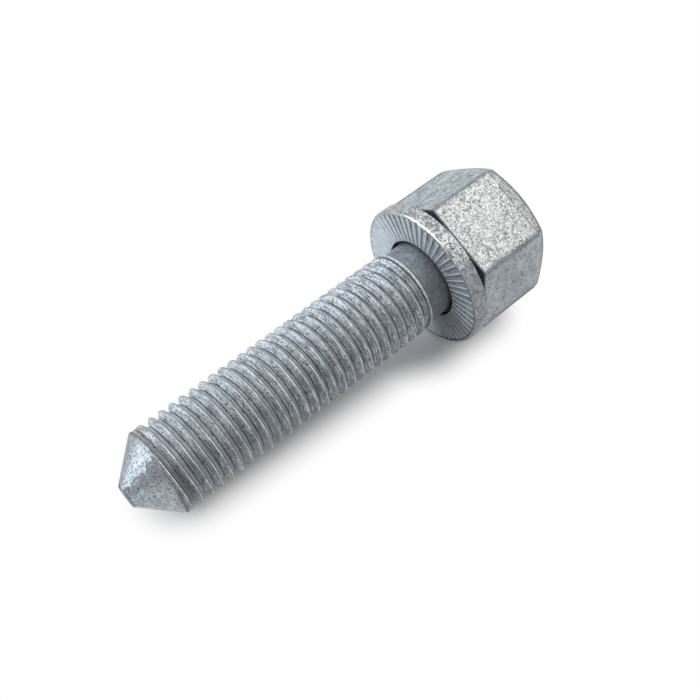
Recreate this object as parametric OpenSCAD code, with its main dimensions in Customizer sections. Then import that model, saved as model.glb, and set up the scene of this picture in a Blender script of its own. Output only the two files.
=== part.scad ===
// Hex flange bolt, hot-dip galvanised, M16 x 2 coarse thread, forged and rolled in one piece.
// It lies as it comes to rest on a flat surface: the rim of the flange and the far end of the
// thread touch the surface, so the axis dips towards the point. The head is at +X, the point at -X.
// All lengths are in millimetres. Each module is modelled upright on the bolt's own axis, with the
// bearing face at zero, the point above it and the head below it.

/* [Thread] */
// Major diameter over the thread crests
thread_d = 15.8; // [15:0.1:17]
// Pitch of the single right-hand thread
pitch = 2; // [1.5:0.1:2.5]
// Included angle of the thread groove
thread_angle = 60; // [55:1:62]
// Width of the flat crest, as a share of the pitch
crest_share = 0.14; // [0.12:0.01:0.16]
// Depth of the thread groove, as a share of the pitch
depth_share = 0.55; // [0.5:0.01:0.6]
// Turn of the thread about its axis, from the side that lies uppermost
thread_phase = 145; // [0:1:359]
// Distance from the end of the neck to the middle of the groove where it starts
lead_in = 0.6; // [0.4:0.1:2]
// Distance from the middle of the groove where it ends to the cone of the point
lead_out = 0.5; // [0.4:0.1:3]
// Share of a turn over which the groove comes to its full depth
fade_share = 0.4; // [0.25:0.05:1]
// Length over which the first crests rise to the full diameter
run_out_len = 3; // [1:0.5:6]
// Amount by which the first crest is lower than the others
run_out_drop = 0.12; // [0.05:0.01:0.3]

/* [Shank] */
// Length from the bearing face to the end of the point
shank_len = 63.6; // [45:0.2:100]
// Diameter of the plain neck under the head
neck_d = 14.5; // [13.8:0.1:14.7]
// Length of the plain neck, from the bearing face to the first crest
neck_len = 4; // [2:0.5:20]
// Slope of the step from the neck up to the first crest, from the axis
step_angle = 50; // [35:1:70]
// Diameter of the small flat at the end of the point
point_d = 4; // [1:0.1:8]
// Angle between the cone of the point and the axis
point_angle = 43.5; // [35:0.5:60]

/* [Flange] */
// Outer diameter of the flange
flange_d = 28; // [28:0.1:36]
// Thickness of the flange
flange_h = 2.8; // [1.6:0.1:5]
// Bevel on the rim at the bearing face
rim_bevel = 0.35; // [0.1:0.05:0.6]
// Bevel on the rim at the hexagon's side
back_bevel = 0.3; // [0.1:0.05:0.6]
// Gap between the neck and the wall of the recess in the bearing face
recess_gap = 0.65; // [0.3:0.05:1.2]
// Depth of the recess in the bearing face
recess_depth = 1.2; // [0.8:0.1:1.5]

/* [Serrations] */
// Number of radial serrations in the bearing face
serration_count = 54; // [24:1:72]
// Depth of a serration at its outer end, from nothing at the recess
serration_depth = 0.4; // [0.1:0.05:0.6]
// Share of the spacing that stays flat between two serrations
land_share = 0.16; // [0.05:0.01:0.5]
// Width of the plain ring outside the serrations
plain_ring = 0.3; // [0.1:0.05:1]

/* [Hexagon] */
// Width across the flats
across_flats = 24.2; // [21:0.1:24.2]
// Height of the whole head, from the bearing face to the top face
head_h = 19.8; // [14:0.1:30]
// Distance from each flat in to the edge of the round top face
top_inset = 0.75; // [0.3:0.05:2]
// Angle of the cone that trims the top corners, from the top face
top_angle = 30; // [15:1:45]
// Distance from the top face down to the line where each flat starts to lean in
lean_drop = 2.6; // [1:0.1:5]
// Angle by which the strip above that line leans in from the flat
lean_angle = 12; // [2:1:30]
// Distance from each flat in to the round foot between the hexagon and the flange
foot_inset = 0.15; // [0.05:0.05:1]
// Width of the groove between the flange and the underside of the hexagon
foot_gap = 1.5; // [0.5:0.1:3]
// Angle by which the underside of the hexagon rises towards its corners, from the flange
foot_angle = 5; // [0:1:45]
// Turn of the hexagon about its axis, from a corner that points straight down
hex_roll = 3; // [-30:1:30]

/* [Smoothness] */
// Straight steps in one turn of the thread groove
steps_per_turn = 24; // [20:4:36]

/* [Hidden] */
$fn = 96;

thread_r = thread_d / 2;
neck_r = neck_d / 2;
point_r = point_d / 2;
flange_r = flange_d / 2;
recess_r = neck_r + recess_gap;
flat_r = across_flats / 2;
corner_r = flat_r / cos(30);
point_len = (thread_r - point_r) / tan(point_angle);
crest_end = shank_len - point_len;

// At rest one line along the underside touches the bevel of the rim and the end of the thread.
rest_run = crest_end + rim_bevel;
rest_tilt = atan((flange_r - thread_r) / rest_run);
axis_height = flange_r * cos(rest_tilt) - rim_bevel * sin(rest_tilt);

// Ends of the lying bolt along X, for an origin under the middle of its box.
head_reach = head_h * cos(rest_tilt) + (flat_r - top_inset) * sin(rest_tilt);
point_reach = max(shank_len * cos(rest_tilt) + point_r * sin(rest_tilt),
    crest_end * cos(rest_tilt) + thread_r * sin(rest_tilt));
middle_x = (head_reach - point_reach) / 2;

zinc = [0.66, 0.69, 0.71];
overlap = 0.5;

// The blank of the shank: buried root, neck, step up to the crests, threaded length and point.
module shank_blank() {
    first_crest_r = thread_r - run_out_drop;
    step_end = neck_len + (first_crest_r - neck_r) / tan(step_angle);
    rotate_extrude()
        polygon([
            [0, -flange_h],
            [neck_r, -flange_h],
            [neck_r, neck_len],
            [first_crest_r, step_end],
            [thread_r, step_end + run_out_len],
            [thread_r, crest_end],
            [point_r, shank_len],
            [0, shank_len]
        ]);
}

// One helical groove, swept as a four-cornered section that is narrow at the root and wide
// just outside the crests. Its root rises out of the metal at both ends.
module thread_groove() {
    outer_r = (thread_r + 0.05) / cos(180 / steps_per_turn);
    root_r = thread_r - pitch * depth_share;
    groove_start = neck_len + lead_in;
    groove_end = crest_end - lead_out;
    steps = floor((groove_end - groove_start) / pitch * steps_per_turn);
    fade = fade_share * steps_per_turn;
    flank = tan(thread_angle / 2);
    crest_half = pitch * (1 - crest_share) / 2;

    function depth_at(i) = min(1, i / fade, (steps - i) / fade);
    function root_at(i) = thread_r + 0.02 - (thread_r + 0.02 - root_r) * depth_at(i);
    function half_width(r) = crest_half + (r - thread_r) * flank;
    function section(i) = let (r = root_at(i), z = groove_start + pitch * i / steps_per_turn) [
        [outer_r, z - half_width(outer_r)],
        [r, z - half_width(r)],
        [r, z + half_width(r)],
        [outer_r, z + half_width(outer_r)]
    ];
    function angle_at(i) = thread_phase + 360 * (groove_start / pitch - 0.5 + i / steps_per_turn);
    function placed(p, a) = [p[0] * cos(a), p[0] * sin(a), p[1]];

    points = [for (i = [0:steps]) for (p = section(i)) placed(p, angle_at(i))];
    side_faces = [
        for (i = [0:steps - 1])
            for (k = [0:3])
                let (next = (k + 1) % 4, here = 4 * i, there = 4 * (i + 1))
                    each [
                        [here + k, there + k, there + next],
                        [here + k, there + next, here + next]
                    ]
    ];
    start_cap = [[0, 1, 2], [0, 2, 3]];
    last = 4 * steps;
    end_cap = [[last + 2, last + 1, last], [last + 3, last + 2, last]];
    polyhedron(points = points, faces = concat(side_faces, start_cap, end_cap), convexity = 10);
}

module threaded_shank() {
    difference() {
        shank_blank();
        thread_groove();
    }
}

// One serration is a wedge that starts with no depth beside the recess and gets deeper outwards.
// Its ramp ends at a steep wall that faces against the turn that tightens the bolt.
module serration_cut() {
    inner_r = recess_r - recess_gap / 2;
    outer_r = flange_r - rim_bevel - plain_ring;
    span = 360 / serration_count * (1 - land_share);

    function placed(r, a, z) = [r * cos(a), r * sin(a), z];

    polyhedron(
        points = [
            placed(inner_r, 0, 0),
            placed(inner_r, span, 0),
            placed(inner_r, span, overlap),
            placed(outer_r, 0, 0),
            placed(outer_r, span, -serration_depth),
            placed(outer_r, span, overlap)
        ],
        faces = [
            [0, 3, 4], [0, 4, 1],
            [1, 4, 5], [1, 5, 2],
            [0, 2, 5], [0, 5, 3],
            [3, 5, 4], [0, 1, 2]
        ]
    );
}

module flange() {
    difference() {
        rotate_extrude()
            polygon([
                [0, -flange_h],
                [flange_r - back_bevel, -flange_h],
                [flange_r, back_bevel - flange_h],
                [flange_r, -rim_bevel],
                [flange_r - rim_bevel, 0],
                [recess_r, 0],
                [recess_r, -recess_depth],
                [0, -recess_depth]
            ]);
        for (i = [0:serration_count - 1])
            rotate(i * 360 / serration_count)
                serration_cut();
    }
}

// Two opposite flats of the hexagon, each with the strip that leans in near the top.
module flat_pair() {
    lean_start = lean_drop - head_h;
    lean_in = lean_drop * tan(lean_angle);
    rotate([90, 0, 0])
        linear_extrude(4 * corner_r, center = true)
            polygon([
                [-flat_r, -recess_depth],
                [-flat_r, lean_start],
                [lean_in - flat_r, -head_h],
                [flat_r - lean_in, -head_h],
                [flat_r, lean_start],
                [flat_r, -recess_depth]
            ]);
}

// The turned shape that trims the corners of the hexagon at the top and leaves the groove under them.
module corner_trim() {
    top_r = flat_r - top_inset;
    foot_r = flat_r - foot_inset;
    foot_h = flange_h + foot_gap;
    outer_r = corner_r + overlap;
    rotate_extrude()
        polygon([
            [0, -head_h],
            [top_r, -head_h],
            [outer_r, (outer_r - top_r) * tan(top_angle) - head_h],
            [outer_r, -foot_h - (outer_r - foot_r) * tan(foot_angle)],
            [foot_r, -foot_h],
            [foot_r, -recess_depth - overlap],
            [0, -recess_depth - overlap]
        ]);
}

module hexagon() {
    intersection() {
        intersection_for (turn = [30, 90, 150])
            rotate(turn + hex_roll)
                flat_pair();
        corner_trim();
    }
}

// Lays the upright bolt down: its axis points to -X and dips by the tilt at rest.
module lay_down() {
    translate([-middle_x, 0, axis_height])
        rotate([0, -90 - rest_tilt, 0])
            children();
}

module flange_bolt() {
    color(zinc)
        lay_down() {
            threaded_shank();
            flange();
            hexagon();
        }
}

flange_bolt();
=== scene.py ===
import math

import bmesh
import bpy
from mathutils import Matrix, Vector


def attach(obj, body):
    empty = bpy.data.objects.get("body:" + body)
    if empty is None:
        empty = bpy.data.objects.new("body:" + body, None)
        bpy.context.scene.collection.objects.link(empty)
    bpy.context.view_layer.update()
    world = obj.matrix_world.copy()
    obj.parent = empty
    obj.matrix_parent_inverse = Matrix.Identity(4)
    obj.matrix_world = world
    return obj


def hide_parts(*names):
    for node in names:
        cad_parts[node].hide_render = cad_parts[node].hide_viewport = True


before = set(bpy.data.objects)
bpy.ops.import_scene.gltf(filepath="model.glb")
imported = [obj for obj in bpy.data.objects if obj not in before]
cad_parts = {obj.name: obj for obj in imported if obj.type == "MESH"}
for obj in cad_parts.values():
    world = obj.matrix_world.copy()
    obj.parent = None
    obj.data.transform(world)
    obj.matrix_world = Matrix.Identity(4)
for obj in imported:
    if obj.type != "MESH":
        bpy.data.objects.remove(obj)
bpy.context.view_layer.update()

# Driving sizes of the bolt, in millimetres. It is modelled upright on its own axis, with the
# bearing face at zero and the point above it, then laid down and brought to metres.

# Thread, neck and point.
PITCH = 2.0
CREST_R = 7.9
ROOT_R = 6.8
NECK_R = 7.25
SHANK_END = 63.6
POINT_R = 2.0
POINT_ANGLE = math.radians(43.5)
# Part of a turn that the crest of the thread lies from the uppermost side at the bearing face.
THREAD_TURN = 145 / 360

# Flange. The ribs get deeper from their inner radius to their outer one.
FLANGE_R = 14.0
FLANGE_H = 2.8
RIM_BEVEL = 0.35
PLAIN_RING_R = 13.62
RECESS_R = 7.9
RECESS_DEPTH = 1.2
RIBS = 54
RIB_DEPTH = 0.4
RIB_INNER = 7.0
RIB_OUTER = 13.34

# Hexagon. A strip of each flat leans in at the top, and a groove runs round its foot.
FLAT_R = 12.1
HEAD_H = 19.8
LEAN_DROP = 2.6
LEAN_ANGLE = math.radians(12)
TOP_INSET = 0.75
TOP_ANGLE = math.radians(30)
FOOT_INSET = 0.15
FOOT_GAP = 0.9
FOOT_RISE = math.radians(5)
# Degrees by which the hexagon is turned from a corner that points straight down.
HEX_ROLL = 3.0

# The height at which the cone of the point meets the crests, and how far the strip leans in.
cone_start = SHANK_END - (CREST_R - POINT_R) / math.tan(POINT_ANGLE)
CREST_END = round(cone_start, 2)
LEAN_IN = round(LEAN_DROP * math.tan(LEAN_ANGLE), 3)

# At rest one line along the underside touches the bevel of the rim and the end of the thread.
tilt = math.atan((FLANGE_R - CREST_R) / (cone_start + RIM_BEVEL))
axis_height = FLANGE_R * math.cos(tilt) - RIM_BEVEL * math.sin(tilt)

# Ends of the lying bolt along X, for an origin under the middle of its box.
head_reach = HEAD_H * math.cos(tilt) + (FLAT_R - TOP_INSET) * math.sin(tilt)
point_reach = SHANK_END * math.cos(tilt) + POINT_R * math.sin(tilt)
middle_x = (head_reach - point_reach) / 2

# The bolt's own directions in the row's frame: its uppermost side, its far side and its axis.
up_side = Vector((-math.sin(tilt), 0, math.cos(tilt)))
far_side = Vector((0, 1, 0))
axis = Vector((-math.cos(tilt), 0, -math.sin(tilt)))
own_axes = Matrix((up_side, far_side, axis)).transposed()
bearing_centre = Vector((-middle_x, 0, axis_height))
laid_down = Matrix.Translation(bearing_centre / 1000) @ own_axes.to_4x4() @ Matrix.Scale(0.001, 4)


# Modelling.

def only(obj):
    """Selects one object and makes it the active one."""
    bpy.ops.object.select_all(action="DESELECT")
    obj.select_set(True)
    bpy.context.view_layer.objects.active = obj


def edit(obj):
    only(obj)
    bpy.ops.object.mode_set(mode="EDIT")
    bpy.ops.mesh.select_mode(type="VERT")


def leave():
    bpy.ops.object.mode_set(mode="OBJECT")


def pick(obj, test, kind="verts"):
    """Selects the vertices, edges or faces that pass the test, and nothing else."""
    shape = bmesh.from_edit_mesh(obj.data)
    for item in (*shape.verts, *shape.edges, *shape.faces):
        item.select = False
    for item in getattr(shape, kind):
        if test(item):
            item.select_set(True)
    shape.select_flush(True)
    bmesh.update_edit_mesh(obj.data)


def turn_share(place):
    """Part of a turn about the axis at which a place lies, from 0 to 1."""
    return math.atan2(place.y, place.x) / (2 * math.pi) % 1


def finish_modifier(obj, kind, **settings):
    """Adds a modifier with these settings and applies it."""
    only(obj)
    modifier = obj.modifiers.new(kind.lower(), kind)
    for name, value in settings.items():
        setattr(modifier, name, value)
    bpy.ops.object.modifier_apply(modifier=modifier.name)


def outline(name, points):
    """An open line through (radius, height) points, drawn by extruding one corner of a plane."""
    bpy.ops.object.select_all(action="DESELECT")
    bpy.ops.mesh.primitive_plane_add(size=2, location=(0, 0, 0))
    line = bpy.context.active_object
    line.name = line.data.name = name
    edit(line)
    pick(line, lambda v: v.co.x < 0 or v.co.y < 0)
    bpy.ops.mesh.delete(type="VERT")
    bpy.ops.mesh.select_all(action="SELECT")
    places = [Vector((radius, 0, height)) for radius, height in points]
    bpy.ops.transform.translate(value=places[0] - Vector((1, 1, 0)))
    for here, there in zip(places, places[1:]):
        bpy.ops.mesh.extrude_region_move(TRANSFORM_OT_translate={"value": there - here})
    leave()
    return line


def lathe(name, points, steps):
    """A closed solid of revolution. The line of points starts and ends on the axis."""
    solid = outline(name, points)
    edit(solid)
    bpy.ops.mesh.select_all(action="SELECT")
    bpy.ops.mesh.spin(steps=steps, angle=2 * math.pi, center=(0, 0, 0), axis=(0, 0, 1))
    bpy.ops.mesh.select_all(action="SELECT")
    bpy.ops.mesh.remove_doubles(threshold=0.0005)
    bpy.ops.mesh.normals_make_consistent(inside=False)
    leave()
    return solid


def trim(obj, blank):
    """Keeps what lies inside the blank, which is used up."""
    finish_modifier(obj, "BOOLEAN", operation="INTERSECT", object=blank, solver="EXACT")
    bpy.data.objects.remove(blank, do_unlink=True)


def shank_blank():
    """The turned shape that the threaded rod is trimmed to, from the neck to the point."""
    slope = (CREST_R - POINT_R) / (SHANK_END - CREST_END)
    buried = -2.3
    beyond_crests = 8.4
    neck = [
        (0, buried), (NECK_R, buried), (NECK_R, 3.93), (7.29, 4.02), (7.42, 4.12), (7.62, 4.28)]
    rolled_rings = [
        (7.73, 4.37), (7.79, 4.48), (7.80, 4.58), (7.76, 4.70), (7.64, 4.82), (7.52, 4.92),
        (7.50, 5.00), (7.56, 5.10), (7.70, 5.24), (7.80, 5.40), (7.84, 5.60)]
    thread = [
        (7.86, 6.4), (7.93, 7.8), (beyond_crests, 9.5), (beyond_crests, 55.5), (7.93, 57.0)]
    point = [
        (7.885, 57.22), (7.80, 57.42), (CREST_R - slope * 0.3, CREST_END + 0.3),
        (POINT_R + 0.12, SHANK_END - 0.127), (POINT_R, SHANK_END - 0.04),
        (POINT_R - 0.2, SHANK_END), (0, SHANK_END)]
    return lathe("blank", neck + rolled_rings + thread + point, 192)


def threaded_shank():
    """A rod with a helical groove that fades out at both ends, trimmed to the neck and point."""
    steps = 72
    turns = 26
    start = 4.6
    # Half of the groove's section: the distance from its middle, and the depth under the crest.
    half = [
        (PITCH / 2, 0), (0.91, 0), (0.85, 0.028), (0.785, 0.11), (0.535, 0.54), (0.295, 0.95),
        (0.2, 1.04), (0, CREST_R - ROOT_R)]
    section = [(CREST_R - depth, -off) for off, depth in half]
    section += [(CREST_R - depth, off) for off, depth in reversed(half[:-1])]
    rod = outline("threaded_shank", section)
    finish_modifier(rod, "SCREW", axis="Z", screw_offset=PITCH, iterations=turns, steps=steps,
                    render_steps=steps, use_smooth_shade=True)

    # The groove rises out of the metal over about a third of a turn at each end.
    ends = rod.vertex_groups.new(name="ends")
    fade = PITCH * 0.36
    for v in rod.data.vertices:
        climb = turn_share(v.co) * PITCH
        middle = climb + PITCH * round((v.co.z - climb) / PITCH)
        weight = 1 - min(1, middle / fade, (turns * PITCH - middle) / fade)
        if weight > 0:
            ends.add([v.index], min(1, weight), "REPLACE")
    finish_modifier(rod, "CAST", cast_type="CYLINDER", factor=1, use_radius_as_size=True,
                    radius=CREST_R, use_z=False, vertex_group="ends")

    # Both ends are drawn out beyond the blank and closed.
    below, above = -9.0, 62.0
    narrower = 0.97
    half_way = turns * PITCH / 2
    edit(rod)
    bpy.ops.mesh.select_all(action="SELECT")
    bpy.ops.mesh.remove_doubles(threshold=0.001)
    for side, height in ((-1, below), (1, above)):
        pick(rod, lambda e: e.is_boundary and (e.verts[0].co.z - half_way) * side > 0, "edges")
        bpy.ops.mesh.extrude_region()
        bpy.ops.transform.resize(value=(narrower, narrower, 0), center_override=(0, 0, height))
        bpy.ops.mesh.remove_doubles(threshold=0.001)
        bpy.ops.mesh.edge_face_add()
    bpy.ops.mesh.select_all(action="SELECT")
    bpy.ops.mesh.normals_make_consistent(inside=False)
    leave()

    # The middle of the groove is at this turn about the axis where it starts.
    start_turn = 2 * math.pi * (THREAD_TURN + start / PITCH - 0.5)
    rod.matrix_world = Matrix.Translation((0, 0, start)) @ Matrix.Rotation(start_turn, 4, "Z")
    only(rod)
    bpy.ops.object.transform_apply()
    trim(rod, shank_blank())
    return rod


def flange():
    """The flange with its recess, and ribs that are cut into the bearing face."""
    # Each rib: share of the spacing, and the height there as a share of the full depth.
    rib = ((0.0, 0.0), (0.07, -0.05), (0.3, -0.34), (0.55, -0.65), (0.76, -0.92), (0.83, -1.0),
           (0.87, -0.6), (0.91, -0.06), (0.95, 0.0))
    columns = len(rib)
    rings = (8.08, 9.4, 10.7, 12.0, 13.1, RIB_OUTER - 0.04)
    recess = [
        (0, -RECESS_DEPTH), (7.72, -RECESS_DEPTH), (7.86, -1.14), (RECESS_R, -1.0),
        (RECESS_R, -0.16), (7.95, -0.05)]
    face = [(radius, 0) for radius in (*rings, RIB_OUTER, PLAIN_RING_R)]
    rim = [
        (13.92, -0.26), (FLANGE_R, -0.4), (FLANGE_R, -2.6), (13.95, -2.74), (13.82, -FLANGE_H),
        (0, -FLANGE_H)]
    disc = lathe("flange", recess + face + rim, RIBS * columns)

    def column(v):
        return round(turn_share(v.co) * RIBS * columns) % columns

    def in_line(v, share):
        return abs((turn_share(v.co) * RIBS - share + 0.5) % 1 - 0.5) < 0.01

    # The columns of one spacing move round to the shares of the rib, then down to its ramp.
    edit(disc)
    for number in range(columns - 1, 0, -1):
        pick(disc, lambda v: v.co.xy.length > 0.1 and column(v) == number)
        moved = 2 * math.pi / RIBS * (number / columns - rib[number][0])
        bpy.ops.transform.rotate(value=moved, orient_axis="Z", center_override=(0, 0, 0))
    for share, height in rib:
        if height == 0:
            continue
        for radius in rings:
            pick(disc, lambda v: abs(v.co.xy.length - radius) < 0.012 and v.co.z > -0.3
                 and in_line(v, share))
            depth = RIB_DEPTH * (radius - RIB_INNER) / (RIB_OUTER - RIB_INNER)
            bpy.ops.transform.translate(value=(0, 0, height * depth))

    # Zinc has run together in the ribs on the upper far side, between these degrees.
    for least, most, kept in ((50, 200, 0.2), (40, 50, 0.6), (200, 210, 0.6)):
        pick(disc, lambda v: 8.0 < v.co.xy.length < RIB_OUTER - 0.02 and v.co.z > -0.5
             and least < turn_share(v.co) * 360 <= most)
        bpy.ops.transform.resize(value=(1, 1, kept), center_override=(0, 0, 0))

    # The plain ring outside the ribs keeps its own even shading.
    for radius in (RIB_OUTER, PLAIN_RING_R):
        pick(disc, lambda e: all(abs(v.co.xy.length - radius) < 0.01 and v.co.z > -0.1
                                 for v in e.verts), "edges")
        bpy.ops.mesh.mark_sharp()
    leave()
    return disc


def corner_blank(corner_r):
    """The turned shape that trims the corners at the top and leaves the groove under them."""
    outer = corner_r + 0.5
    top_r = FLAT_R - TOP_INSET
    foot_r = FLAT_R - FOOT_INSET
    foot_h = FLANGE_H + FOOT_GAP
    inside = RECESS_DEPTH + 0.4
    return lathe("corner_blank", [
        (0, -HEAD_H), (top_r, -HEAD_H), (outer, (outer - top_r) * math.tan(TOP_ANGLE) - HEAD_H),
        (outer, -foot_h - (outer - foot_r) * math.tan(FOOT_RISE)), (foot_r, -foot_h),
        (foot_r, -inside), (0, -inside)], 180)


def hexagon():
    """Six flats with a strip that leans in near the top, trimmed at both ends."""
    corner_r = FLAT_R / math.cos(math.radians(30))
    depth = HEAD_H - LEAN_DROP - RECESS_DEPTH
    bpy.ops.object.select_all(action="DESELECT")
    bpy.ops.mesh.primitive_cylinder_add(vertices=6, radius=corner_r, depth=depth,
                                        end_fill_type="NGON",
                                        location=(0, 0, -RECESS_DEPTH - depth / 2))
    block = bpy.context.active_object
    block.name = block.data.name = "hexagon"
    bpy.ops.object.transform_apply()
    low = min(v.co.z for v in block.data.vertices)
    first = block.data.vertices[0].co
    corner_angle = math.atan2(first.y, first.x)

    # The strip is extruded from the lower end and drawn in.
    edit(block)
    pick(block, lambda f: f.normal.z < -0.9, "faces")
    bpy.ops.mesh.extrude_region()
    bpy.ops.transform.translate(value=(0, 0, -HEAD_H - low))
    shrink = (FLAT_R - LEAN_IN) / FLAT_R
    bpy.ops.transform.resize(value=(shrink, shrink, 1), center_override=(0, 0, 0))
    bpy.ops.mesh.select_all(action="SELECT")
    bpy.ops.mesh.normals_make_consistent(inside=False)
    leave()
    block.rotation_euler = (0, 0, math.radians(HEX_ROLL) - corner_angle)
    only(block)
    bpy.ops.object.transform_apply()
    trim(block, corner_blank(corner_r))
    finish_modifier(block, "BEVEL", width=0.2, segments=3, limit_method="ANGLE",
                    angle_limit=math.radians(18), profile=0.5, use_clamp_overlap=True)

    # The line where the strip starts to lean in stays crisp.
    edit(block)
    pick(block, lambda e: all(abs(v.co.z - LEAN_DROP + HEAD_H) < 0.01 for v in e.verts), "edges")
    bpy.ops.mesh.mark_sharp()
    leave()
    return block


parts = [threaded_shank(), flange(), hexagon()]
bpy.ops.object.select_all(action="DESELECT")
for part in parts:
    part.select_set(True)
bpy.context.view_layer.objects.active = parts[0]
bpy.ops.object.join()
bolt = bpy.context.active_object
bolt.name = bolt.data.name = "galvanised_bolt"
bolt.matrix_world = laid_down
only(bolt)
bpy.ops.object.transform_apply()
bpy.ops.object.shade_smooth_by_angle(angle=math.radians(32))
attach(bolt, "root")
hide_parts("flange_bolt")


# Materials.

class Number:
    """A socket of a node. Sums on it add the Math nodes."""

    def __init__(self, nodes, socket):
        self.nodes, self.socket = nodes, socket

    def output(self, name):
        """Another output of the same node."""
        return Number(self.nodes, self.socket.node.outputs[name])

    def __add__(self, other):
        return self.nodes.maths("ADD", self, other)

    __radd__ = __add__

    def __mul__(self, other):
        return self.nodes.maths("MULTIPLY", self, other)

    __rmul__ = __mul__

    def __sub__(self, other):
        return self.nodes.maths("SUBTRACT", self, other)

    def __rsub__(self, other):
        return self.nodes.maths("SUBTRACT", other, self)

    def __truediv__(self, other):
        return self.nodes.maths("DIVIDE", self, other)


class Nodes:
    """The nodes of a material or of the world, all made by one method."""

    def __init__(self, owner):
        owner.use_nodes = True
        self.tree = owner.node_tree
        self.tree.nodes.clear()

    def node(self, kind, settings=None, sockets=None):
        """One node: its settings first, then the values or links of its sockets."""
        made = self.tree.nodes.new(kind)
        for name, value in (settings or {}).items():
            setattr(made, name, value)
        for name, value in (sockets or {}).items():
            socket = made.inputs[name]
            if isinstance(value, Number):
                self.tree.links.new(value.socket, socket)
            elif socket.type == "RGBA":
                socket.default_value = (*value, 1)
            else:
                socket.default_value = value
        return Number(self, made.outputs[0]) if made.outputs else None

    def maths(self, operation, *values):
        return self.node("ShaderNodeMath", {"operation": operation}, dict(enumerate(values)))

    def largest(self, value, *others):
        for other in others:
            value = self.maths("MAXIMUM", value, other)
        return value

    def vector(self, x, y, z):
        return self.node("ShaderNodeCombineXYZ", {}, {0: x, 1: y, 2: z})

    def between(self, value, low, high):
        """0 below low and 1 above high, with a soft step."""
        return self.node("ShaderNodeMapRange", {"interpolation_type": "SMOOTHSTEP"},
                         {"Value": value, "From Min": low, "From Max": high})

    def span(self, value, start, end, soft):
        """1 from start to end, and falling to 0 over a soft width outside them."""
        return self.between(value, start - soft, start) * self.between(end + soft - value, 0, soft)

    def contour(self, pattern, level, inner, outer):
        """1 on the thin lines where a pattern passes through a level."""
        return 1 - self.between(self.maths("ABSOLUTE", pattern - level), inner, outer)

    def noise(self, place, scale, detail=3.0, rough=0.55, twist=0.0):
        return self.node("ShaderNodeTexNoise", {}, {
            "Vector": place, "Scale": scale, "Detail": detail, "Roughness": rough,
            "Distortion": twist})

    def cells(self, place, scale):
        return self.node("ShaderNodeTexVoronoi", {}, {"Vector": place, "Scale": scale})

    def stretched(self, place, scale, turn=(0, 0, 0)):
        return self.node("ShaderNodeMapping", {}, {
            "Vector": place, "Scale": scale, "Rotation": turn})

    def blend(self, factor, a, b):
        mixed = self.node("ShaderNodeMix", {"data_type": "RGBA"}, {0: factor, 6: a, 7: b})
        return mixed.output(2)

    def coats(self, colour, *layers):
        """Lays one tone after another over a colour, each as thickly as its mask says."""
        for mask, tone in layers:
            colour = self.blend(mask, colour, tone)
        return colour

    def background_rays(self):
        """1 for the rays that should meet a white background."""
        rays = self.node("ShaderNodeLightPath")
        return self.largest(rays.output("Is Camera Ray"), rays.output("Is Glossy Ray"),
                            rays.output("Is Transmission Ray"))


# Tones of the zinc and of the painted light and shade on it, as red, green and blue.
DARK_ZINC = (0.24, 0.265, 0.29)
LIGHT_ZINC = (0.59, 0.635, 0.675)
BRIGHT_CLOUD = (0.70, 0.815, 0.885)
DARK_FEATHER = (0.16, 0.18, 0.20)
PALE_STROKE = (0.50, 0.525, 0.515)
RIM_DARK = (0.19, 0.18, 0.185)
RIM_LIGHT = (0.80, 0.80, 0.82)
PAINTED_SHADE_RIM_NEAR = (0.29, 0.32, 0.36)
RIM_STREAK = (0.80, 0.83, 0.86)
RIM_FAR = (0.42, 0.45, 0.48)
PALE_FLAT_DARK = (0.37, 0.375, 0.37)
PALE_FLAT_LIGHT = (0.69, 0.70, 0.695)
FLECK = (0.15, 0.15, 0.145)
STRIP_SPOT = (0.20, 0.195, 0.19)
PAINTED_SHADE_LEAN_LINE = (0.16, 0.16, 0.16)
PAINTED_SHADE_LOWER_SIDE = (0.14, 0.15, 0.165)
PAINTED_HIGHLIGHT_CONE_STRIPE = (0.78, 0.87, 1.0)
PAINTED_SHADE_CONE_BAND = (0.11, 0.12, 0.145)
PAINTED_SHADE_CONE_FAR_SIDE = (0.26, 0.265, 0.30)
PAINTED_SHADE_CONE_TIP = (0.13, 0.135, 0.14)
PAINTED_SHADE_CONE_BASE = (0.12, 0.125, 0.13)
PAINTED_LIGHT_THREAD_TOP = (0.80, 0.87, 0.93)
VEIN = (0.09, 0.09, 0.09)
SPECK = (0.10, 0.10, 0.10)
PIT = (0.05, 0.05, 0.06)
PAINTED_SHADE_HEXAGON_EDGE = (0.13, 0.135, 0.145)
FILLED_RIBS = (0.68, 0.76, 0.84)
FILLED_STREAK = (0.30, 0.34, 0.38)
PAINTED_HIGHLIGHT_RIB_LAND = (0.80, 0.86, 0.92)
PAINTED_SHADE_RIB_FOOT = (0.10, 0.115, 0.13)
FACE_SHADE = (0.12, 0.13, 0.14)
PAINTED_SHADE_OUTER_WALL = (0.05, 0.052, 0.06)
PAINTED_HIGHLIGHT_WHITE = (1.0, 1.0, 1.0)
PAINTED_HIGHLIGHT_CREST = (0.86, 0.91, 0.96)
CREST_FAR = (0.20, 0.21, 0.225)
GLINT = (0.92, 0.95, 0.98)
PAINTED_SHADE_CREST_LINE = (0.06, 0.06, 0.065)
PAINTED_SHADE_THREAD = (0.05, 0.053, 0.06)
PAINTED_LIGHT_FLANK = (0.75, 0.745, 0.74)
LAST_GROOVE = (0.12, 0.12, 0.11)
PAINTED_HIGHLIGHT_COLLAR = (0.86, 0.88, 0.90)
PAINTED_SHADE_NECK = (0.15, 0.16, 0.175)
NECK_SCUFF_AND_LIGHT = (0.60, 0.62, 0.67)
PAINTED_SHADE_RECESS = (0.02, 0.022, 0.025)
PAINTED_SHADE_FOOT_GROOVE = (0.05, 0.055, 0.06)


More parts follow.
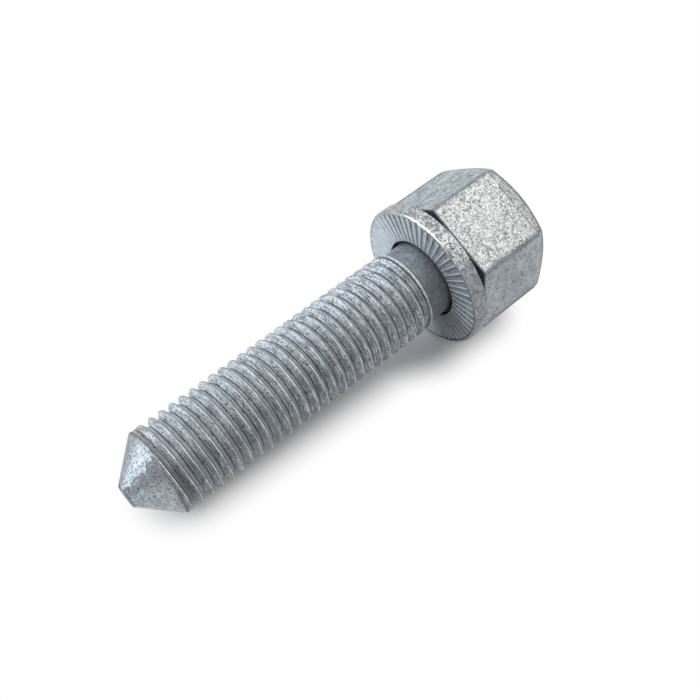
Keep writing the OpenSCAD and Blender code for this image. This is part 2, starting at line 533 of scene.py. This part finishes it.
class Zinc(Nodes):
    """The zinc coat, with the places, patterns and masks that its tones are laid by."""

    def __init__(self, material):
        super().__init__(material)
        self.find_place()
        self.make_patterns()
        self.find_parts()
        self.find_wear()

    def find_place(self):
        """Where a point is, in millimetres on the bolt's own axes, with x to its uppermost side."""
        back = own_axes.transposed()
        self.own = self.node("ShaderNodeMapping", {}, {
            "Vector": self.node("ShaderNodeTexCoord").output("Object"),
            "Scale": (1000, 1000, 1000), "Rotation": back.to_euler(),
            "Location": -(back @ bearing_centre)})
        apart = self.node("ShaderNodeSeparateXYZ", {}, {0: self.own})
        self.x, self.y, self.along = (apart.output(i) for i in range(3))
        across = self.vector(self.x, self.y, 0.0)
        length = self.node("ShaderNodeVectorMath", {"operation": "LENGTH"}, {0: across})
        self.radius = length.output("Value")
        # Part of a turn from the uppermost side, up to a half and positive on the far side.
        self.around = self.maths("ARCTAN2", self.y, self.x) * (0.5 / math.pi)
        # Part of the way from one crest of the thread to the next, and from one rib to the next.
        self.helix = self.maths("FRACT", self.along / PITCH - self.around + THREAD_TURN)
        self.rib = self.maths("FRACT", self.around * RIBS)

    def make_patterns(self):
        """Patterns of the zinc, from clouds of some millimetres down to specks of a fifth of one."""
        own = self.own
        self.clouds = self.noise(own, 0.3, 2.0, 0.5)
        self.mottle = self.noise(own, 1.2, 3.0, 0.6, 1.2)
        self.fine = self.noise(own, 3.2, 4.0, 0.7, 0.5)
        self.wobble = (self.fine - 0.5) * 2.5
        self.lengthwise = self.noise(self.stretched(own, (3.0, 3.0, 0.6)), 1.0, 3.0, 0.65, 1.2)
        self.upright = self.noise(self.stretched(own, (0.6, 3.0, 3.0)), 1.0, 3.0, 0.65, 1.0)
        coiled = self.vector(self.along * 3.2, self.around * 18, self.radius * 1.6)
        self.drawn = self.noise(coiled, 1.0, 3.0, 0.65, 0.6)
        self.scratched = self.drawn * 0.5 + self.fine * 0.5
        self.specks = self.between(self.noise(own, 3.6, 2.0, 0.6, 0.4), 0.58, 0.66)
        self.broken = self.between(self.noise(own, 1.7, 2.0, 0.5), 0.42, 0.52)
        swirls = self.noise(own, 1.15, 2.0, 0.5, 3.2)
        self.veins = self.contour(swirls, 0.5, 0.012, 0.036) * self.broken

    def flat(self, degrees):
        """1 on the hexagon's flat whose normal is turned this far from the uppermost side."""
        a = math.radians(degrees)
        half_width = 6.7
        reach = self.x * math.cos(a) + self.y * math.sin(a)
        side = self.maths("ABSOLUTE", self.y * math.cos(a) - self.x * math.sin(a))
        return (self.between(reach, FLAT_R - 0.8, FLAT_R - 0.5)
                * self.between(half_width - side + self.wobble, -0.1, 0.25))

    def find_parts(self):
        """Masks that are 1 on one part of the bolt, by radius, height and part of a turn."""
        radius, along, around = self.radius, self.along, self.around
        underside = FLANGE_H + FOOT_GAP
        self.head = self.between(0 - along, underside + 0.3, underside + 0.5)
        self.pale = self.head * self.largest(
            self.flat(HEX_ROLL - 30), self.flat(HEX_ROLL + 90), self.flat(HEX_ROLL + 210))
        self.brushed = self.flat(HEX_ROLL + 30) * self.head
        ring = (self.between(radius, RIB_OUTER + 0.04, RIB_OUTER + 0.12)
                * self.between(along, -0.6, -0.5))
        wall = self.between(radius, FLANGE_R - 0.3, FLANGE_R - 0.1) * (1 - self.head)
        self.rim = self.largest(wall, ring)
        self.face = (self.between(along, -0.6, -0.45) * self.between(0.05 - along, 0, 0.02)
                     * self.between(radius, RECESS_R + 0.05, RECESS_R + 0.2) * (1 - self.rim))
        self.neck = (self.span(along, -RECESS_DEPTH - 0.1, 4.2, 0.15)
                     * self.between(NECK_R + 0.5 - radius, 0, 0.2))
        self.collar = (self.span(along, 4.38, 4.62, 0.08) * self.between(radius, 7.6, 7.7)
                       * self.span(around, -0.12, 0.10, 0.06))
        self.thread = (self.between(along, 5.2, 5.7)
                       * self.between(CREST_END + 0.62 - along, 0, 0.6))
        self.cone = self.between(along, CREST_END - 0.08, CREST_END + 0.22)
        self.upper = self.between(around, -0.10, 0.06)
        self.lower = self.span(around, -0.36, -0.16, 0.10)

    def find_wear(self):
        """Brush strokes along one flat, and pits where they crowd, on the cone and by the crests."""
        self.strokes = self.between(self.lengthwise, 0.53, 0.61) * self.brushed
        pits = 1 - self.between(self.cells(self.own, 1.9) + (self.fine - 0.5) * 0.4, 0.24, 0.31)
        crowded = self.between(self.noise(self.own, 0.75, 2.0), 0.46, 0.54)
        near_crest = (self.span(self.helix, 0.09, 0.30, 0.03) * self.thread
                      * self.between(self.drawn, 0.38, 0.46))
        self.pitted = (pits * self.largest(crowded, near_crest, self.cone)
                       * (1 - self.neck) * (1 - self.pale * 0.4))


def clouded_zinc(z):
    """The blue-grey zinc, with brush strokes and dark feathers on the flats that show them."""
    grain = z.lengthwise * (1 - z.brushed) + z.upright * z.brushed
    tone = z.between(z.fine * 0.4 + z.mottle * 0.3 + z.clouds * 0.1 + grain * 0.2, 0.395, 0.605)
    threaded = z.between(z.scratched, 0.42, 0.56)
    bright = z.between(z.noise(z.own, 0.62, 3.0, 0.65, 0.6), 0.48, 0.64)
    slanted = z.stretched(z.own, (2.2, 2.2, 0.6), (0.3, 0.0, 0.3))
    feathers = z.contour(z.noise(slanted, 1.0, 2.0, 0.6, 1.6), 0.47, 0.01, 0.04)
    side_strokes = z.between(z.upright, 0.48, 0.60) * z.flat(HEX_ROLL - 90) * z.head
    return z.coats(
        z.blend(tone * (1 - z.thread) + threaded * z.thread, DARK_ZINC, LIGHT_ZINC),
        (z.largest(bright * (0.45 + 0.25 * z.brushed), z.strokes * 0.9), BRIGHT_CLOUD),
        (feathers * z.brushed * 0.6, DARK_FEATHER),
        (side_strokes * 0.6, PALE_STROKE))


def rim_tones(z, colour):
    """The rim is blotched, with painted shade low on its near side, and darker on its far side."""
    blotches = z.noise(z.own, 0.8, 3.0, 0.65, 1.5)
    blotched = z.between(z.fine * 0.3 + blotches * 0.7, 0.42, 0.57)
    return z.coats(
        colour,
        (z.rim * 0.85, z.blend(blotched, RIM_DARK, RIM_LIGHT)),
        # Painted shade: the rim is darkened low on its near side.
        (z.rim * z.between(0 - z.around, 0.08, 0.18) * 0.68, PAINTED_SHADE_RIM_NEAR),
        (z.rim * z.between(z.drawn, 0.56, 0.64) * 0.4, RIM_STREAK),
        (z.rim * z.between(z.around, 0.02, 0.09) * 0.7, RIM_FAR))


def pale_flats(z, colour):
    """Every other flat is paler and flecked, with a line of painted shade where its strip starts to
    lean in.
    """
    plates = z.noise(z.own, 0.85, 2.0, 0.6, 2.4)
    plated = z.between(plates * 0.75 + z.fine * 0.25, 0.40, 0.50)
    flecks = z.between(z.noise(z.own, 2.7, 3.0, 0.7, 1.0), 0.565, 0.595)
    lean_h = HEAD_H - LEAN_DROP
    strip = z.span(0 - z.along, lean_h + 0.1, HEAD_H + 0.7, 0.15) * z.pale
    lean_line = z.pale * z.span(0 - z.along + z.wobble * 0.04, lean_h - 0.08, lean_h + 0.06, 0.10)
    return z.coats(
        colour,
        (z.pale, z.blend(plated, PALE_FLAT_DARK, PALE_FLAT_LIGHT)),
        (z.pale * flecks * 0.78, FLECK),
        (strip * z.between(z.mottle, 0.53, 0.60) * 0.42, STRIP_SPOT),
        # Painted shade: a thin dark line where the strip starts to lean in.
        (lean_line * z.between(z.clouds, 0.38, 0.46) * 0.75, PAINTED_SHADE_LEAN_LINE))


def side_tones(z, colour):
    """Painted shade on the lower side, painted light on the top of the thread, and painted light and
    shade on the cone.
    """
    astray = z.around + (z.mottle - 0.5) * 0.16 + (z.fine - 0.5) * 0.12
    edge = (z.span(z.along, CREST_END - 0.23, CREST_END + 0.12, 0.08)
            * z.between(z.radius, CREST_R - 0.5, CREST_R - 0.3))
    unshaded_top = z.span(z.around, -0.02, 0.05, 0.03)
    top = z.between(z.around, -0.06, 0.06) * z.thread
    return z.coats(
        colour,
        # Painted shade: the lower side is darkened as if it lay in shade.
        (z.lower * (1 - z.pale) * (0.35 - 0.14 * z.head - 0.3 * z.cone), PAINTED_SHADE_LOWER_SIDE),
        # Painted highlight: a bright stripe along the cone, with painted shade in a band beside it
        # and on its far side.
        (z.span(astray, -0.02, 0.02, 0.04) * z.cone * 0.34, PAINTED_HIGHLIGHT_CONE_STRIPE),
        (z.span(astray, -0.10, -0.06, 0.04) * z.cone * 0.6, PAINTED_SHADE_CONE_BAND),
        (z.between(astray, 0.04, 0.09) * z.cone * (0.35 + 0.5 * z.mottle), PAINTED_SHADE_CONE_FAR_SIDE),
        # Painted shade: a dark rim at the end of the point, and a dark line round the cone's base
        # except on its top.
        (z.between(z.along, SHANK_END - 0.4, SHANK_END - 0.2) * 0.55, PAINTED_SHADE_CONE_TIP),
        (edge * (1 - unshaded_top) * 0.6, PAINTED_SHADE_CONE_BASE),
        # Painted light: the top of the thread is made brighter.
        (top * (0.15 + 0.45 * z.between(z.drawn, 0.45, 0.52)), PAINTED_LIGHT_THREAD_TOP))


def worn_places(z, colour):
    """Veins, specks and pits in the zinc, and painted shade along the edges of the hexagon."""
    corner = z.between(z.radius + z.wobble * 0.15, 13.35, 13.75) * z.head
    top_r = FLAT_R - TOP_INSET
    top_slope = round(math.tan(TOP_ANGLE), 3)
    top_edge = (z.between((z.radius - top_r) * top_slope - z.along, HEAD_H - 0.47, HEAD_H - 0.3)
                * z.between(z.radius, top_r - 0.2, top_r - 0.05))
    return z.coats(
        colour,
        (z.veins * (0.25 + 0.4 * z.pale), VEIN),
        (z.specks * (0.25 + 0.15 * z.pale + 0.3 * z.rim + 0.35 * z.thread), SPECK),
        (z.pitted * (0.92 - 0.25 * z.cone), PIT),
        # Painted shade: dark lines along the corners and the top edge of the hexagon.
        (z.largest(corner * (1 - z.pale) * 0.55, top_edge * 0.75), PAINTED_SHADE_HEXAGON_EDGE))


def bearing_face(z, colour):
    """Each rib's land has a painted highlight, its foot painted shade, and the rim's bevel a painted
    highlight. Zinc has filled the far ribs.
    """
    near_bottom = z.between(0 - z.around, 0.38, 0.43)
    filled = z.largest(z.between(z.around, 0.10, 0.17), near_bottom) * z.face
    ribbed = z.face * (1 - z.largest(z.between(z.around, 0.12, 0.21), near_bottom))
    land = z.largest(z.between(z.rib, 0.82, 0.88), z.between(0.20 - z.rib, 0, 0.12))
    foot = z.between(z.rib, 0.40, 0.78) * (1 - land)
    fan = z.noise(z.vector(z.around * 90, z.radius * 0.5, 0.0), 1.0, 3.0, 0.7)
    outer_wall = (z.span(z.radius, RIB_OUTER - 0.08, RIB_OUTER + 0.04, 0.06) * (1 - z.head)
                  * z.between(z.along, -0.6, -0.5) * z.between(2.0 - z.y, 0, 6.0))
    rim_edge_highlight = (z.span(z.radius, FLANGE_R - 0.26, FLANGE_R - 0.14, 0.06)
                * z.between(z.along, -0.5, -0.4) * z.span(z.around, -0.05, 0.035, 0.02))
    return z.coats(
        colour,
        (filled * 0.8, FILLED_RIBS),
        # Painted highlight on the land of each rib, and painted shade low on its ramp by the wall.
        (land * ribbed * (0.75 + 0.15 * z.lower), PAINTED_HIGHLIGHT_RIB_LAND),
        (foot * ribbed * 0.66, PAINTED_SHADE_RIB_FOOT),
        (filled * z.between(fan * 0.6 + z.fine * 0.4, 0.49, 0.60) * 0.45, FILLED_STREAK),
        (z.span(z.around, -0.42, -0.32, 0.05) * z.face * 0.55, FACE_SHADE),
        # Painted shade: a dark line on the step at the outer end of the ribs, on the near side.
        (outer_wall * 0.85, PAINTED_SHADE_OUTER_WALL),
        # Painted highlight: a thin white line on the rim's bevel near the top.
        (rim_edge_highlight, PAINTED_HIGHLIGHT_WHITE))


def thread_tones(z, colour):
    """Painted highlights on the crests and flanks, and painted shade in lines beside the crests and
    in the roots.
    """
    crest = z.thread * z.largest(z.between(z.helix, 0.955, 0.975),
                                 z.between(0.025 - z.helix, 0, 0.02))
    crest_highlight_tone = z.blend(z.span(z.around, 0.07, 0.40, 0.06), PAINTED_HIGHLIGHT_CREST, CREST_FAR)
    glints = z.span(z.helix, 0.12, 0.36, 0.06) * z.between(z.drawn, 0.57, 0.61) * z.thread
    line_after = z.span(z.helix, 0.05, 0.065, 0.015) * z.thread
    line_before = z.span(z.helix, 0.885, 0.94, 0.015) * z.thread
    cut_in = z.between(CREST_R - 0.02 - z.radius, 0, 0.08) * z.thread
    root = z.span(z.helix, 0.43, 0.51, 0.02) * cut_in
    flank = z.span(z.helix, 0.62, 0.84, 0.03) * cut_in
    return z.coats(
        colour,
        # Painted highlight along the crest on the near side; on the far side the crest is darker.
        (crest * (0.35 + 0.6 * z.between(z.drawn, 0.45, 0.58)), crest_highlight_tone),
        # Painted glints on the flank that faces the point.
        (glints * z.between(z.fine, 0.49, 0.55) * 0.9, GLINT),
        # Painted shade: a thin dark line just past each crest.
        (line_after * (0.4 + 0.4 * z.broken), PAINTED_SHADE_CREST_LINE),
        # Painted shade in the root of the groove.
        (root * 0.9, PAINTED_SHADE_THREAD),
        # Painted light on the flank that faces the head.
        (flank * 0.6, PAINTED_LIGHT_FLANK),
        (cut_in * z.between(z.along, CREST_END - 2.78, CREST_END - 0.98) * 0.45, LAST_GROOVE),
        # Painted shade: a thin dark line just before each crest.
        (line_before * 0.92, PAINTED_SHADE_THREAD))


def neck_tones(z, colour):
    """A painted highlight on the collar at the thread's start, and painted shade on the neck, beside
    the collar, in the recess and in the groove.
    """
    beside = z.span(z.along, 4.86, 5.10, 0.06) * z.between(z.radius, 7.3, 7.4)
    scuffs = z.between(z.scratched, 0.43, 0.54)
    marks = z.between(z.scratched, 0.53, 0.58)
    recess = (z.span(z.along, -RECESS_DEPTH - 0.4, -RECESS_DEPTH + 0.5, 0.5)
              * z.between(RECESS_R + 0.1 - z.radius, 0, 0.08))
    groove = (z.between(z.along, -FLANGE_H - 1.4, -FLANGE_H - 1.25)
              * z.between(0.02 - FLANGE_H - z.along, 0, 0.05))
    return z.coats(
        colour,
        # Painted highlight on the top of the collar.
        (z.collar * (0.5 + 0.45 * z.between(z.drawn, 0.42, 0.55)), PAINTED_HIGHLIGHT_COLLAR),
        # Painted shade in the shallow groove beside the collar.
        (beside * 0.8, PAINTED_SHADE_THREAD),
        # Painted shade on the neck, lightest on its top among the scuffs.
        (z.neck * (0.58 - 0.56 * z.upper * (0.4 + 0.6 * scuffs)), PAINTED_SHADE_NECK),
        # Light scuff marks, laid thicker on the top as painted light.
        (z.neck * (0.3 + 0.7 * z.upper) * marks * 0.5, NECK_SCUFF_AND_LIGHT),
        # Painted shade in the recess round the neck.
        (recess * 0.92, PAINTED_SHADE_RECESS),
        # Painted shade in the groove under the hexagon's foot.
        (groove * 0.8, PAINTED_SHADE_FOOT_GROOVE))


def galvanised_zinc():
    """The coat of the whole bolt: its tones and its painted light and shade one after another, its
    relief and its sheen.
    """
    material = bpy.data.materials.new("galvanised_zinc")
    z = Zinc(material)
    colour = clouded_zinc(z)
    for coat in (rim_tones, pale_flats, side_tones, worn_places, bearing_face, thread_tones,
                 neck_tones):
        colour = coat(z, colour)
    relief = (z.fine * 0.7 + z.mottle * 0.8 + z.clouds * 0.6 - z.pitted * 0.8 - z.veins * 0.3
              + z.drawn * z.thread * 0.8 + z.strokes * 0.4)
    metal = z.node("ShaderNodeBsdfPrincipled", {}, {
        "Base Color": colour, "Metallic": 0.7,
        "Roughness": 0.30 + 0.2 * z.mottle + 0.12 * z.fine - 0.12 * z.collar,
        "Normal": z.node("ShaderNodeBump", {}, {
            "Strength": 0.6, "Distance": 0.00012, "Height": relief})})
    z.node("ShaderNodeOutputMaterial", {}, {"Surface": metal})
    return material


bolt.data.materials.clear()
bolt.data.materials.append(galvanised_zinc())


# Floor, light and camera, in metres.

def pale_floor():
    """Seen by the camera and in the metal the floor is white, but for the bolt's shadow."""
    material = bpy.data.materials.new("pale_floor")
    f = Nodes(material)
    apart = f.node("ShaderNodeSeparateXYZ", {}, {0: f.node("ShaderNodeTexCoord").output("Object")})
    x, y = (apart.output(i) for i in range(2))
    # Distance from a line under the bolt, with more room for the shadow beside the head.
    point_end, head_end = -0.0318, 0.031
    off_x = f.largest(point_end - x, x - head_end, 0.0)
    away = f.maths("SQRT", off_x * off_x + y * y)
    head_room = f.between(x, 0.008, 0.020) * 0.0035
    outside = f.between(away - head_room, 0.002, 0.0115)
    matt = f.node("ShaderNodeBsdfDiffuse", {}, {"Color": (0.93, 0.905, 0.885)})
    white = f.node("ShaderNodeEmission", {}, {"Color": (1, 1, 1), "Strength": 1.0})
    shown = f.node("ShaderNodeMixShader", {}, {0: outside, 1: matt, 2: white})
    f.node("ShaderNodeOutputMaterial", {}, {
        "Surface": f.node("ShaderNodeMixShader", {}, {
            0: f.background_rays(), 1: matt, 2: shown})})
    return material


bpy.ops.object.select_all(action="DESELECT")
bpy.ops.mesh.primitive_plane_add(size=4, location=(0, 0, 0))
ground = bpy.context.active_object
ground.name = "ground"
ground.data.materials.append(pale_floor())

world = bpy.data.worlds.new("studio")
bpy.context.scene.world = world
studio = Nodes(world)
sky = studio.node("ShaderNodeBackground", {}, {"Color": (0.90, 0.95, 1.0), "Strength": 0.4})
white_sky = studio.node("ShaderNodeBackground", {}, {"Color": (1, 1, 1)})
studio.node("ShaderNodeOutputWorld", {}, {
    "Surface": studio.node("ShaderNodeMixShader", {}, {
        0: studio.background_rays(), 1: sky, 2: white_sky})})


def aim(obj, place, direction):
    obj.location = place
    obj.rotation_euler = Vector(direction).to_track_quat("-Z", "Y").to_euler()


def softbox(name, place, size, brightness, colour):
    """A rectangular lamp that faces the middle of the bolt."""
    target = Vector((0.005, 0, 0.01))
    lamp = bpy.data.lights.new(name, "AREA")
    lamp.shape = "RECTANGLE"
    lamp.size, lamp.size_y = size
    lamp.energy = brightness * math.pi * size[0] * size[1]
    lamp.color = colour
    box = bpy.data.objects.new(name, lamp)
    bpy.context.scene.collection.objects.link(box)
    aim(box, place, target - Vector(place))


softbox("left_softbox", (-0.38, 0.27, 0.21), (0.30, 0.22), 5.0, (0.86, 0.94, 1.0))
softbox("top_softbox", (0.16, -0.10, 0.44), (0.26, 0.24), 2.6, (1, 1, 1))

# The camera's place, direction and lens were fitted to the outlines of the bolt in the photo.
lens = bpy.data.cameras.new("camera")
lens.sensor_width = 36
lens.lens = 45.2546
lens.clip_start = 0.005
camera = bpy.data.objects.new("camera", lens)
bpy.context.scene.collection.objects.link(camera)
aim(camera, (-0.062433, -0.077188, 0.12662), (0.42504, 0.49084, -0.76053))
bpy.context.scene.camera = camera
bpy.context.scene.view_settings.view_transform = "Standard"
